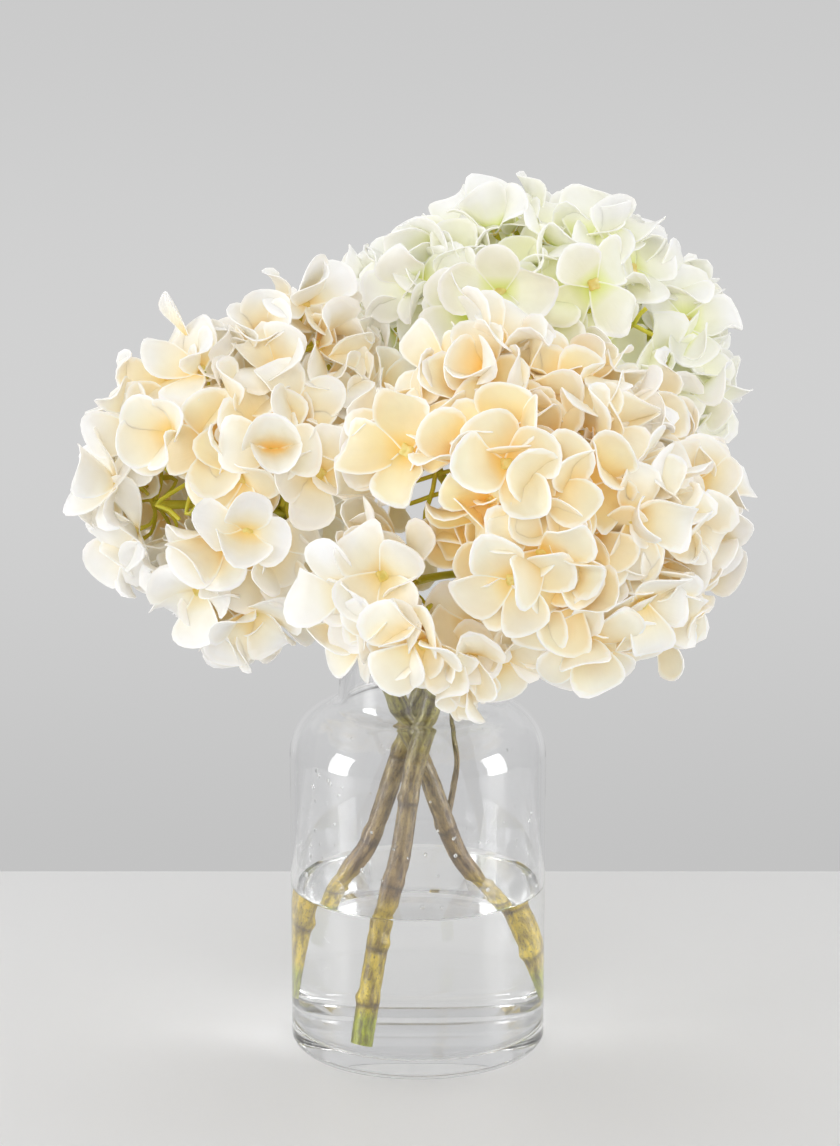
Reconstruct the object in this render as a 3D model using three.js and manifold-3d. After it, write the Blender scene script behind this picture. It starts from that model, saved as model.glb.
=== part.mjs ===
// Three hydrangea heads on woody stems, in a clear glass vase with water.
// Millimetres, +Z up. The vase stands on z = 0, centred on the Z axis, and the front is -Y.

import * as THREE from 'three';
import { mergeVertices } from 'three/addons/utils/BufferGeometryUtils.js';
import Module from 'manifold-3d';

const wasm = await Module();
wasm.setup();
const { Manifold, Mesh } = wasm;

// Repeatable random numbers
const DRAW_FACTOR = 1664525;
const DRAW_STEP = 1013904223;
const DRAW_CYCLE = 2 ** 32;

// Vase
const BODY_RADIUS = 60;
const WALL = 2.6;
const FLOOR = 8;
const STRAIGHT_HEIGHT = 140;
const SHOULDER_RADIUS = 24;
const FILLET_RADIUS = 6;
const NECK_RADIUS = 37;
const RIM_RADIUS = 34.6;
const VASE_HEIGHT = 200;
const BASE_ROUND = 5;
const ROUND_SIDES = 32;

// Water
const WATER_LEVEL = 76;
const GAP = 0.3;

// Stems, each as points from its cut end up to its tip
const STEM_SIDES = 7;
const STEM_STEPS = 24;
const STEMS = {
  stem_left: {
    radius: 4.7,
    points: [[-45, 13, 17], [-36, 14, 70], [-23, 15, 92], [-10, 15, 130], [-2, 14, 156],
      [11, 15, 186], [17, 17, 203], [38, 28, 244], [66, 46, 296]],
    nodes: [0.13, 0.42, 0.63],
  },
  stem_front: {
    radius: 4.8,
    points: [[-24.5, -43, 13], [-14, -33, 76], [-8, -27, 99], [-2, -18, 135], [4, -13, 158],
      [8, -12, 175], [15, -18, 200], [24, -30, 216], [36, -46, 236]],
    nodes: [0.2, 0.47, 0.68],
  },
  stem_right: {
    radius: 4.5,
    points: [[45, 14, 16], [31, 10, 68], [18, 5, 92], [4, 1, 131], [-6, 0, 156],
      [-16, 0, 180], [-24, 0, 202], [-42, 0, 225], [-62, 0, 254]],
    nodes: [0.16, 0.36, 0.6],
  },
};
const NODE_SWELL = 1.28;
const TWIG = { radius: 1.6, points: [[14, 7, 112], [17, 10, 130], [16, 12, 148], [15, 8, 166]] };

// Florets: four lobes cut from one sheet, on a thin stalk, with a bud in the middle
const LOBE_REACH = 27;
const LOBE_SHOULDER = 23.5;
const LOBE_HALF_ANGLE = 32;
const NOTCH_REACH = 9;
const FLAT_MARGIN = 0.1;
const BLADE = 0.9;
const CUP = [0.002, 0.013];
const WAVE = [-0.006, 0.006];
const FLORET_SIZE = [0.9, 1.05];
const STALK_RADIUS = 1.1;
const FREE_STALK = 0.35;
const BUD_RADIUS = 2.4;
const BUD_TAPER = 0.6;
const BUD_HEIGHT = 1.8;

// Rays: from the hub on the stem's tip to the knob inside each lump of florets
const RAY_RADIUS = 2.2;
const KNOB_RADIUS = 3.6;
const KNOB_OVERRUN = 1;
const HUB_RADIUS = 8;
const HUB_NECK = 0.7;

// Where the florets of a lump may sit
const FLORETS_AROUND = 3;
const LUMP_PULL = 12;
const CROWN_DROP = 9;
const CROWN_PULL = [0, 20];
const CROWN_LEAN = [-0.4, 0.4];
const RING_REACH = [0.5, 0.86];
const RING_DROP = [6, 20];
const RING_STRAY = [-0.35, 0.35];
const RING_TILT = [30, 80];
const CLEARANCE = 0.5;
const TRIES = 100;
const FINEST_DETAIL = 0.02;

// Heads. Each lump of florets is its middle and its outer radius.
const HEADS = {
  head_left: {
    stem: 'stem_right',
    seed: 11,
    heart: [-80, 4, 268],
    lumps: [
      [-133, -5, 256, 30], [-110, -25, 307, 31], [-56, -20, 333, 31], [-25, -8, 314, 27],
      [-82, -55, 301, 27], [-51, -62, 294, 28], [-105, -45, 279, 24], [-75, -58, 256, 28],
      [-80, -30, 221, 27], [-106, 0, 224, 22], [-87, 36, 305, 28], [-125, 40, 274, 29],
      [-91, 45, 230, 28], [-54, 52, 289, 30], [-52, 30, 238, 26],
    ],
  },
  head_front: {
    stem: 'stem_front',
    seed: 23,
    heart: [56, -66, 266],
    lumps: [
      [26, -98, 330, 30], [66, -92, 321, 30], [-4, -104, 303, 28], [31, -136, 302, 29],
      [66, -134, 294, 29], [98, -52, 304, 29], [119, -56, 271, 29], [-20, -104, 238, 29],
      [-6, -128, 230, 22], [21, -112, 210, 21], [53, -142, 262, 28], [74, -108, 231, 30],
      [103, -84, 238, 29], [126, -40, 242, 24], [99, -112, 273, 27], [22, -120, 264, 22],
      [82, -30, 225, 28], [104, -10, 272, 28],
    ],
  },
  head_back: {
    stem: 'stem_left',
    seed: 37,
    heart: [62, 52, 332],
    lumps: [
      [18, 28, 377, 30], [51, 20, 374, 30], [89, 20, 367, 29], [-11, 26, 349, 26],
      [24, -2, 351, 28], [64, -12, 344, 28], [101, 4, 339, 28], [123, 44, 333, 27],
      [127, 24, 304, 27], [3, 78, 341, 29], [46, 96, 356, 30], [89, 100, 348, 30],
      [121, 90, 311, 28], [70, 112, 309, 30], [25, 96, 307, 28],
    ],
  },
};

function vector(values) {
  return new THREE.Vector3(values[0], values[1], values[2]);
}

// A repeatable random draw from a range of low and high.
function drawer(seed) {
  let state = seed;
  return ([low, high]) => {
    state = (state * DRAW_FACTOR + DRAW_STEP) % DRAW_CYCLE;
    return low + (high - low) * state / DRAW_CYCLE;
  };
}

function toSolid(geometry) {
  const bare = geometry.clone();
  bare.deleteAttribute('normal');
  bare.deleteAttribute('uv');
  const merged = mergeVertices(bare, 1e-4);
  const mesh = new Mesh({
    numProp: 3,
    vertProperties: new Float32Array(merged.attributes.position.array),
    triVerts: new Uint32Array(merged.index.array),
  });
  mesh.merge();
  return new Manifold(mesh);
}

function toGeometry(solid) {
  const mesh = solid.getMesh();
  const geometry = new THREE.BufferGeometry();
  geometry.setAttribute('position', new THREE.BufferAttribute(mesh.vertProperties, 3));
  geometry.setIndex(new THREE.BufferAttribute(mesh.triVerts, 1));
  geometry.computeVertexNormals();
  return geometry;
}

// The biggest of a solid's pieces, without the scraps that a cut leaves.
function mainPiece(solid) {
  const pieces = solid.decompose();
  pieces.sort((a, b) => b.volume() - a.volume());
  return pieces[0];
}

function lathe(points) {
  const geometry = new THREE.LatheGeometry(points, ROUND_SIDES);
  geometry.rotateX(Math.PI / 2);
  return geometry;
}

function arcPoints(centreR, centreZ, radius, fromDegrees, toDegrees, count) {
  const points = [];
  for (let i = 0; i <= count; i += 1) {
    const angle = THREE.MathUtils.degToRad(fromDegrees + (toDegrees - fromDegrees) * i / count);
    points.push(new THREE.Vector2(centreR + radius * Math.cos(angle), centreZ + radius * Math.sin(angle)));
  }
  return points;
}

// Half outline from the floor to the foot of the neck, for the outside (inset 0) or a skin set in from it.
function wallProfile(inset, floorZ, floorRound) {
  const radius = BODY_RADIUS - inset;
  const shoulderCentre = BODY_RADIUS - SHOULDER_RADIUS;
  const reach = SHOULDER_RADIUS + FILLET_RADIUS;
  const turn = THREE.MathUtils.radToDeg(Math.acos((NECK_RADIUS + FILLET_RADIUS - shoulderCentre) / reach));
  const turnAngle = THREE.MathUtils.degToRad(turn);
  const filletR = shoulderCentre + reach * Math.cos(turnAngle);
  const filletZ = STRAIGHT_HEIGHT + reach * Math.sin(turnAngle);
  return [
    new THREE.Vector2(0, floorZ),
    ...arcPoints(radius - floorRound, floorZ + floorRound, floorRound, -90, 0, 2),
    ...arcPoints(shoulderCentre, STRAIGHT_HEIGHT, SHOULDER_RADIUS - inset, 0, turn, 5),
    ...arcPoints(filletR, filletZ, FILLET_RADIUS + inset, 180 + turn, 180, 2).slice(1),
  ];
}

function makeVase() {
  const outside = wallProfile(0, 0, BASE_ROUND);
  const inside = wallProfile(WALL, FLOOR, BASE_ROUND + 2);
  const lip = arcPoints(RIM_RADIUS - WALL / 2, VASE_HEIGHT - WALL / 2, WALL / 2, 0, 180, 4);
  return lathe([...outside, ...lip, ...inside.reverse()]);
}

function makeWater() {
  const skin = wallProfile(WALL + GAP, FLOOR + GAP, BASE_ROUND + 2);
  const sides = skin.filter((point) => point.y < WATER_LEVEL);
  const radius = BODY_RADIUS - WALL - GAP;
  const top = [new THREE.Vector2(radius, WATER_LEVEL), new THREE.Vector2(0, WATER_LEVEL)];
  let water = toSolid(lathe([...sides, ...top]));
  for (const name of Object.keys(STEMS)) {
    water = water.subtract(stemSolid(STEMS[name], GAP));
  }
  return mainPiece(water);
}

// A round bar that follows a smooth curve through the points.
function bar(points, radius, sides, steps) {
  const section = new THREE.Shape();
  for (let i = 0; i < sides; i += 1) {
    const angle = 2 * Math.PI * i / sides;
    const x = radius * Math.cos(angle);
    const y = radius * Math.sin(angle);
    if (i === 0) section.moveTo(x, y);
    else section.lineTo(x, y);
  }
  const curve = new THREE.CatmullRomCurve3(points.map(vector), false, 'centripetal');
  return new THREE.ExtrudeGeometry(section, { steps, bevelEnabled: false, extrudePath: curve, curveSegments: 1 });
}

// Swells the bar at each of the places given as a share of its length.
function swellAt(geometry, points, steps, places) {
  const curve = new THREE.CatmullRomCurve3(points.map(vector), false, 'centripetal');
  const centres = curve.getSpacedPoints(steps);
  const spot = new THREE.Vector3();
  const place = geometry.attributes.position;
  for (let i = 0; i < place.count; i += 1) {
    spot.fromBufferAttribute(place, i);
    let ring = 0;
    for (let j = 1; j <= steps; j += 1) {
      if (centres[j].distanceToSquared(spot) < centres[ring].distanceToSquared(spot)) ring = j;
    }
    if (places.some((share) => Math.round(share * steps) === ring)) {
      spot.sub(centres[ring]).multiplyScalar(NODE_SWELL).add(centres[ring]);
      place.setXYZ(i, spot.x, spot.y, spot.z);
    }
  }
  return geometry;
}

// A woody stem. Its hole in the water is the same shape, larger by the gap.
function stemSolid(stem, extra) {
  const points = stem.points.slice();
  if (extra > 0) {
    const start = vector(points[0]);
    const back = start.clone().sub(vector(points[1])).setLength(extra);
    points[0] = start.add(back).toArray();
  }
  return toSolid(swellAt(bar(points, stem.radius + extra, STEM_SIDES, STEM_STEPS), points, STEM_STEPS, stem.nodes));
}

// Four broad lobes cut from one sheet, cupped and waved by a formula.
function floretBlade(draw, size) {
  const outline = new THREE.Shape();
  for (let lobe = 0; lobe < 4; lobe += 1) {
    const corners = [[-45, NOTCH_REACH], [-LOBE_HALF_ANGLE, LOBE_SHOULDER], [0, LOBE_REACH],
      [LOBE_HALF_ANGLE, LOBE_SHOULDER]];
    for (const [degrees, reach] of corners) {
      const angle = THREE.MathUtils.degToRad(degrees + 90 * lobe);
      const x = size * reach * Math.cos(angle);
      const y = size * reach * Math.sin(angle);
      if (lobe === 0 && reach === NOTCH_REACH) outline.moveTo(x, y);
      else outline.lineTo(x, y);
    }
  }
  const blade = new THREE.ExtrudeGeometry(outline, { depth: BLADE, steps: 1, bevelEnabled: false });
  const cup = draw(CUP);
  const wave = draw(WAVE);
  const lean = draw([0, Math.PI]);
  const place = blade.attributes.position;
  for (let i = 0; i < place.count; i += 1) {
    const x = place.getX(i);
    const y = place.getY(i);
    const spread = Math.max(0, x * x + y * y - (NOTCH_REACH * size) ** 2 - FLAT_MARGIN);
    const lift = spread * (cup + wave * Math.cos(2 * (Math.atan2(y, x) - lean)));
    place.setZ(i, place.getZ(i) + lift);
  }
  blade.rotateZ(draw([0, Math.PI]));
  return blade;
}

// A straight bar from one point to another that may taper.
function taperedBar(from, to, rootRadius, tipRadius, sides) {
  const length = from.distanceTo(to);
  const geometry = new THREE.CylinderGeometry(tipRadius, rootRadius, length, sides, 1);
  const along = to.clone().sub(from).normalize();
  geometry.applyQuaternion(new THREE.Quaternion().setFromUnitVectors(new THREE.Vector3(0, 1, 0), along));
  const middle = from.clone().add(to).multiplyScalar(0.5);
  geometry.translate(middle.x, middle.y, middle.z);
  return toSolid(geometry);
}

function ball(centre, radius, sides) {
  const geometry = new THREE.SphereGeometry(radius, sides, sides / 2);
  geometry.translate(centre.x, centre.y, centre.z);
  return toSolid(geometry);
}

function clearOf(solid, others) {
  return others.every((other) => solid.minGap(other, CLEARANCE) >= CLEARANCE);
}

// One floret: its blade and bud where they sit, and the stalk that carries it from the knob.
function makeFloret(knob, seat, draw) {
  const blade = floretBlade(draw, draw(FLORET_SIZE));
  blade.applyQuaternion(new THREE.Quaternion().setFromUnitVectors(new THREE.Vector3(0, 0, 1), seat.facing));
  blade.translate(seat.centre.x, seat.centre.y, seat.centre.z);
  const middle = seat.centre.clone().addScaledVector(seat.facing, BLADE / 2);
  const budTop = seat.centre.clone().addScaledVector(seat.facing, BLADE + BUD_HEIGHT);
  const flower = toSolid(blade).add(taperedBar(middle, budTop, BUD_RADIUS, BUD_RADIUS * BUD_TAPER, 4));
  const root = knob.clone().lerp(seat.centre, FREE_STALK);
  return {
    whole: flower.add(taperedBar(knob, middle, STALK_RADIUS, STALK_RADIUS, 4)),
    free: flower.add(taperedBar(root, middle, STALK_RADIUS, STALK_RADIUS, 4)),
  };
}

// Where a lump lies: its middle, the way it faces out from the head, its crown and its knob.
function lumpFrame(lump, head) {
  const middle = vector(lump);
  const out = middle.clone().sub(vector(head.heart)).normalize();
  return {
    out,
    radius: lump[3],
    crown: middle.clone().addScaledVector(out, lump[3] - CROWN_DROP),
    knob: middle.clone().addScaledVector(out, -LUMP_PULL),
  };
}

// Where a floret of a lump may sit: the first at the crown, the rest in a ring that faces outward.
function floretSeat(frame, index, start, draw) {
  const across = new THREE.Vector3(0, 0, 1).cross(frame.out).normalize();
  const upward = frame.out.clone().cross(across);
  const centre = frame.crown.clone();
  const facing = frame.out.clone();
  if (index === 0) {
    centre.addScaledVector(frame.out, -draw(CROWN_PULL));
    facing.addScaledVector(across, draw(CROWN_LEAN)).addScaledVector(upward, draw(CROWN_LEAN));
    return { centre, facing: facing.normalize() };
  }
  const angle = start + 2 * Math.PI * index / FLORETS_AROUND + draw(RING_STRAY);
  const aside = across.multiplyScalar(Math.cos(angle)).addScaledVector(upward, Math.sin(angle));
  const tilt = THREE.MathUtils.degToRad(draw(RING_TILT));
  centre.addScaledVector(aside, frame.radius * draw(RING_REACH)).addScaledVector(frame.out, -draw(RING_DROP));
  return { centre, facing: facing.multiplyScalar(Math.cos(tilt)).addScaledVector(aside, Math.sin(tilt)) };
}

// The florets of one lump, all from one knob. Each takes the first seat that clears all else.
function addFlorets(frame, draw, others, florets) {
  const start = draw([0, 2 * Math.PI]);
  for (let index = 0; index <= FLORETS_AROUND; index += 1) {
    for (let attempt = 0; attempt < TRIES; attempt += 1) {
      const floret = makeFloret(frame.knob, floretSeat(frame, index, start, draw), draw);
      if (!clearOf(floret.free, others)) continue;
      others.push(floret.free);
      florets.push(floret.whole);
      break;
    }
  }
}

// A head on its stem: a hub on the tip, a ray to each lump's knob, and the florets.
function makeHead(head, others) {
  const draw = drawer(head.seed);
  const points = STEMS[head.stem].points;
  const tip = vector(points[points.length - 1]);
  const along = tip.clone().sub(vector(points[points.length - 2])).normalize();
  const hub = tip.clone().addScaledVector(along, GAP + HUB_RADIUS);
  const seat = tip.clone().addScaledVector(along, GAP);
  const frames = head.lumps.map((lump) => lumpFrame(lump, head));
  const rays = [taperedBar(seat, hub, HUB_RADIUS * HUB_NECK, HUB_RADIUS, 6), ball(hub, HUB_RADIUS, 6)];
  for (const { knob } of frames) {
    const end = knob.clone().addScaledVector(knob.clone().sub(hub).normalize(), KNOB_OVERRUN);
    rays.push(taperedBar(hub, end, RAY_RADIUS, KNOB_RADIUS, 4));
  }
  const florets = [];
  const taken = [...others, ...rays];
  for (const frame of frames) addFlorets(frame, draw, taken, florets);
  return mainPiece(Manifold.union([...rays, ...florets])).simplify(FINEST_DETAIL);
}

function material(color, roughness, opacity = 1) {
  return new THREE.MeshStandardMaterial({ color, roughness, metalness: 0, opacity, transparent: opacity < 1 });
}

const materials = {
  glass: material('#eef2f3', 0.03, 0.25),
  water: material('#e4ecec', 0.02, 0.35),
  bark: material('#7d7443', 0.75),
  cream: material('#f6e6c9', 0.6),
  white: material('#f3f5e4', 0.6),
};

const flowers = new THREE.Group();

function addNode(name, geometry, paint) {
  const mesh = new THREE.Mesh(geometry, paint);
  mesh.name = name;
  flowers.add(mesh);
}

const vase = makeVase();
const stems = {};
for (const name of Object.keys(STEMS)) {
  stems[name] = stemSolid(STEMS[name], 0);
}
stems.stem_right = mainPiece(stems.stem_right.add(toSolid(bar(TWIG.points, TWIG.radius, 6, 4))));

addNode('vase', vase, materials.glass);
addNode('water', toGeometry(makeWater()), materials.water);
for (const name of Object.keys(STEMS)) {
  addNode(name, toGeometry(mainPiece(stems[name])), materials.bark);
}

const placed = [toSolid(vase), ...Object.values(stems)];
for (const [name, head] of Object.entries(HEADS)) {
  const solid = makeHead(head, placed);
  placed.push(solid);
  addNode(name, toGeometry(solid), name === 'head_back' ? materials.white : materials.cream);
}

export default flowers;
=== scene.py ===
# Hydrangeas in a vase: three heads on woody stems, in a clear glass vase with water.
import math
import random

import bpy
import numpy as np
from mathutils import Matrix, Vector


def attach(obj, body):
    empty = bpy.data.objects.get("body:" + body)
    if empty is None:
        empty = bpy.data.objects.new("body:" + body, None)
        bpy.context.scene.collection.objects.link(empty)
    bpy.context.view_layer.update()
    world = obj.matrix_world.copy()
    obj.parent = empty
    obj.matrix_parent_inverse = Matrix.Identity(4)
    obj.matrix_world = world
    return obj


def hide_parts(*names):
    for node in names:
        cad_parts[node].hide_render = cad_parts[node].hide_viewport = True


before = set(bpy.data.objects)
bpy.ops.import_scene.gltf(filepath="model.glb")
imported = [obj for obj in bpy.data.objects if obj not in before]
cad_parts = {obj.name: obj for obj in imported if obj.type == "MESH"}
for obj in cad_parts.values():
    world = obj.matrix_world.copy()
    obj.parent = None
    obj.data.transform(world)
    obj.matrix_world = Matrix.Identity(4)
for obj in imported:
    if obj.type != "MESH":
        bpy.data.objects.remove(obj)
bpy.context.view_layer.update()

MM = 0.001

# Edges that turn by less than this are shaded smooth
SMOOTH_ANGLE = math.radians(50)
GLASS_ANGLE = math.radians(40)

# Camera, in metres, degrees and millimetres of lens
CAMERA_PLACE = (0.001, -1.3557, 0.5191)
CAMERA_TILT = 12.2
CAMERA_LENS = 94.24

# Stage, in metres
TABLE_WIDE = 5
TABLE_DEEP = 3
TABLE_BACK = 0.256
TABLE_DROP = 0.0008
TABLE_GREY = 0.79
BACKDROP_WIDE = 6
BACKDROP_HIGH = 4
BACKDROP_PLACE = 4
BACKDROP_LIFT = 0.2

# Vase and water, in millimetres, as in the part but for the base, the water's edge and the drops
BODY_RADIUS = 60
WALL = 2.6
FLOOR = 8
STRAIGHT_HEIGHT = 140
SHOULDER_RADIUS = 24
FILLET_RADIUS = 6
NECK_RADIUS = 37
RIM_RADIUS = 34.6
VASE_HEIGHT = 200
BASE_ROUND = 4
BASE_HOLLOW = 1
HOLLOW_RADIUS = 54
HOLLOW_STEPS = 24
ROUND_STEPS = 128
WATER_LEVEL = 76
WATER_SINK = 0.08
MENISCUS = 1.6
MENISCUS_REACH = 5
MENISCUS_STEPS = 8
DROPS = 90
DROP_SIZE = (0.35, 1.05)
DROP_FLATNESS = 0.45
DROP_LOWEST = 5
DROP_SPREAD = 62

# Stems, in millimetres, each from its cut end up to its tip
STEMS = {
    "stem_left": {
        "radius": 4.7,
        "points": [(-45, 13, 17), (-36, 14, 70), (-23, 15, 92), (-10, 15, 130), (-2, 14, 156),
                   (11, 15, 186), (17, 17, 203), (38, 28, 244), (66, 46, 296)],
        "nodes": [0.13, 0.27, 0.42, 0.63],
        "twigs": ["neck_twig"],
    },
    "stem_front": {
        "radius": 4.8,
        "points": [(-24.5, -43, 13), (-14, -33, 76), (-8, -27, 99), (-2, -18, 135), (4, -13, 158),
                   (8, -12, 175), (15, -18, 200), (24, -30, 216), (36, -46, 236)],
        "nodes": [0.09, 0.2, 0.31, 0.47, 0.68],
        "twigs": [],
    },
    "stem_right": {
        "radius": 4.5,
        "points": [(45, 14, 16), (31, 10, 68), (18, 5, 92), (4, 1, 131), (-6, 0, 156),
                   (-16, 0, 180), (-24, 0, 202), (-42, 0, 225), (-62, 0, 254)],
        "nodes": [0.1, 0.2, 0.36, 0.6],
        "twigs": ["side_twig"],
    },
}
TWIGS = {
    "side_twig": {
        "radius": 1.7,
        "points": [(14, 6, 108), (16, 9, 116), (18.5, 11, 132), (16.5, 12, 148), (15.5, 10, 166)],
        "nodes": [0.3, 0.72],
    },
    "neck_twig": {
        "radius": 1.9,
        "points": [(2, 14, 164), (-10, 15, 170), (-20, 16, 172), (-27, 16, 178), (-31, 14, 190)],
        "nodes": [0.55],
    },
}
CUT_LENGTH = 24
STEM_STEPS = 170
STEM_SIDES = 24
TWIG_STEPS = 36
TWIG_SIDES = 12

# Heads. A lump of florets is its middle and outer radius, in millimetres. A key floret is one that is
# seen well from the front: its middle, its turn, tilt and roll in degrees, and its openness. A lone petal
# stands out of the head: its foot, turn and tilt. An open spot is a gap between the florets, as seen from
# the front: its middle and radius. A bare stalk crosses a gap, from one point to another. An area of
# painted shade and light is an area of petals made warmer as painted shade where they lie in shade, as
# around the gaps, and paler as painted light where light falls on a head's outside: its middle, its
# reach and how warm it is, below 0 where the petals are paler.
# The warmth of a head is the range that its florets' own tints are drawn from.
HEADS = {
    "head_left": {
        "stem": "stem_right",
        "seed": 14,
        "warmth": (0, 0.5),
        "heart": (-80, 4, 268),
        "lumps": [
            (-133, -5, 256, 30), (-110, -25, 307, 31), (-56, -20, 333, 31), (-25, -8, 314, 27),
            (-82, -55, 301, 27), (-51, -62, 294, 28), (-105, -45, 279, 24), (-75, -58, 256, 28),
            (-80, -30, 221, 27), (-106, 0, 224, 22), (-87, 36, 305, 28), (-125, 40, 274, 29),
            (-91, 45, 230, 28), (-54, 52, 289, 30), (-52, 30, 238, 26),
        ],
        "key": [
            (-62, -79, 298, 0, 12, 0, 0.3), (-76, -71, 285, -35, -20, 20, 0.5),
            (-43, -77, 287, 12, 5, -15, 0.65), (-73, -88, 264, -6, -8, -10, 0.4),
            (-28, -36, 297, 18, 15, 30, 0.6), (-107, -56, 301, -35, 8, 40, 0.3),
            (-96, -36, 325, -35, 35, 10, 0.4), (-51, -20, 353, 8, 38, 30, 0.1),
            (-97, -46, 229, -30, -35, 20, 0.6), (-74, -48, 220, 0, -45, 45, 0.5),
            (-127, -22, 251, -50, -12, 0, 0.7), (-135, -26, 274, -60, 5, 30, 0.5),
        ],
        "lone": [(-99, -25, 337, -90, 68)],
        "open": [(-102, -50, 272, 25), (-58, -62, 271, 20)],
        "bare": [
            ((-113, -44, 283), (-90, -46, 280)), ((-116, -42, 267), (-106, -45, 260)),
            ((-103, -45, 262), (-88, -48, 274)), ((-62, -52, 286), (-56, -54, 258)),
            ((-55, -53, 284), (-60, -55, 268)),
        ],
        "painted_shade_and_light": [
            (-138, -20, 262, 42, -1.0), (-102, -40, 240, 34, -0.6), (-58, -20, 358, 30, -0.5),
            (-85, -55, 285, 40, 1.3),
        ],
    },
    "head_front": {
        "stem": "stem_front",
        "seed": 24,
        "warmth": (0.3, 1.2),
        "heart": (56, -66, 266),
        "lumps": [
            (26, -98, 330, 30), (66, -92, 321, 30), (-4, -104, 303, 28), (31, -136, 302, 29),
            (66, -134, 294, 29), (98, -52, 304, 29), (119, -56, 271, 29), (-20, -104, 238, 29),
            (-6, -128, 230, 22), (21, -112, 210, 21), (53, -142, 262, 28), (74, -108, 231, 30),
            (103, -84, 238, 29), (126, -40, 242, 24), (99, -112, 273, 27), (22, -120, 264, 22),
            (82, -30, 225, 28), (104, -10, 272, 28),
        ],
        "key": [
            (36, -155, 304, 5, 28, 20, 0.6), (51, -151, 295, 12, 5, 50, 0.35),
            (48, -152, 280, -5, 0, 10, 0.5), (50, -158, 269, 10, -12, 40, 0.6),
            (89, -136, 279, 25, 0, 0, 0.5), (39, -155, 258, 0, -20, 25, 0.7),
            (-4, -125, 305, -18, 12, 0, 0.75), (3, -142, 228, -8, -35, 40, 0.7),
            (22, -127, 219, 0, -45, 0, 0.5), (70, -127, 225, 8, -35, 30, 0.5),
            (-31, -120, 244, -25, -12, 10, 0.7), (-14, -127, 253, -10, -5, 45, 0.55),
            (94, -119, 240, 30, -30, 0, 0.6),
        ],
        "lone": [],
        "open": [(10, -117, 287, 18), (2, -113, 262, 11), (24, -120, 257, 14)],
        "bare": [
            ((-6, -104, 279), (26, -112, 287)), ((-4, -104, 288), (30, -114, 297)),
            ((4, -104, 268), (9, -114, 302)), ((-16, -106, 252), (24, -116, 276)),
            ((8, -106, 268), (36, -116, 248)),
        ],
        "painted_shade_and_light": [
            (20, -130, 300, 36, 1.8), (20, -125, 262, 38, 1.5), (57, -138, 298, 38, 0.9),
            (60, -140, 262, 40, 0.8), (-18, -118, 240, 28, -1.1), (97, -90, 298, 32, -0.9),
            (130, -60, 265, 36, -1.0),
        ],
    },
    "head_back": {
        "stem": "stem_left",
        "seed": 43,
        "warmth": (0, 0.5),
        "heart": (62, 52, 332),
        "lumps": [
            (18, 28, 377, 30), (51, 20, 374, 30), (89, 20, 367, 29), (-11, 26, 349, 26),
            (24, -2, 351, 28), (64, -12, 344, 28), (101, 4, 339, 28), (123, 44, 333, 27),
            (127, 24, 304, 27), (3, 78, 341, 29), (46, 96, 356, 30), (89, 100, 348, 30),
            (121, 90, 311, 28), (70, 112, 309, 30), (25, 96, 307, 28),
        ],
        "key": [
            (78, -18, 362, 12, 5, 38, 0.95), (37, -21, 359, -8, 10, 0, 0.6),
            (1, 7, 360, -25, 5, 30, 0.5),
        ],
        "lone": [],
        "open": [(22, 14, 382, 12), (72, -18, 348, 13), (102, -5, 342, 19)],
        "bare": [((80, -8, 349), (106, -10, 338)), ((97, -8, 342), (103, -9, 350))],
        "painted_shade_and_light": [(62, -15, 358, 38, 1.3), (24, -5, 362, 36, 0.7)],
    },
}

# How the florets are spread over the lumps, in millimetres and shares
LUMP_PULL = 12
FLORET_DEPTH = 20.6
FLORET_SPACING = 13.6
PLACES_A_LUMP = 150
LEAST_OUTWARD = -0.2
BURIED_SHARE = 0.93
GAP_DEPTH = 42
KEY_SPACE = 13
KEY_FRONT = 23
KEY_BEHIND = -4
STRAY = (-0.55, 0.55)
OPENNESS = (0.1, 0.9)
FLORET_SCALE = (0.9, 1.05)
FLORET_SHIFT = (-7, 3)

# Rays and stalks, in millimetres, with the share that a stalk swells along its length
RAY_RADIUS = 2.0
RAY_STEPS = 9
RAY_SIDES = 8
STALK_RADIUS = 0.85
STALK_SWELL = (1.25, 1.05, 1, 1, 1, 1, 1.15, 1.7)
STALK_SIDES = 6
BARE_RADIUS = 1.0
BARE_STEPS = 11

# Petals and buds, in millimetres. Petals get warm painted shade by how far they lie below a head's outside,
# in full at the shade depth and below.
PETAL_SIDES = 24
PETAL_COLUMNS = 4
PETAL_LENGTH = 26.5
PETAL_WIDTH = 25
PETAL_THICK = 0.6
PETAL_BASE = 2.5
BUD_RADIUS = 3
# The depth below a head's outside at which the petals' painted shade is full
SHADE_DEPTH = 26
NARROW_PETAL = {
    "length": 24, "width": 11, "foot": 1.57, "lift": 1.57, "tip": 0.3, "cup": 2.0, "wave": 0.5, "roll": 0.0,
    "twist": 0.3, "phase": 0.0, "skew": 0.0,
}
# How strongly the petals glow: painted light that stands in for light passing through them
PETAL_GLOW = 0.3

# Petal colours: at the heart, partly painted warm shade in the floret's cup; in the middle; at the outer end,
# which also colours the painted highlight on the rim; and the warm painted shade that petals are multiplied
# by where they lie far below a head's outside or in an area of painted shade, which also gives florets their
# own warmer tints
CREAM = ((0.975, 0.77, 0.33), (0.985, 0.92, 0.77), (0.985, 0.98, 0.965), (1, 0.83, 0.44))
WHITE = ((0.8, 0.86, 0.3), (0.97, 0.98, 0.9), (0.985, 0.985, 0.975), (0.96, 0.96, 0.74))


def select_only(piece):
    """Make one object the only selected and active one."""
    bpy.ops.object.select_all(action="DESELECT")
    piece.select_set(True)
    bpy.context.view_layer.objects.active = piece


def edit_all(piece):
    """Open a piece in edit mode with everything selected."""
    select_only(piece)
    bpy.ops.object.mode_set(mode="EDIT")
    bpy.ops.mesh.select_all(action="SELECT")


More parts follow.
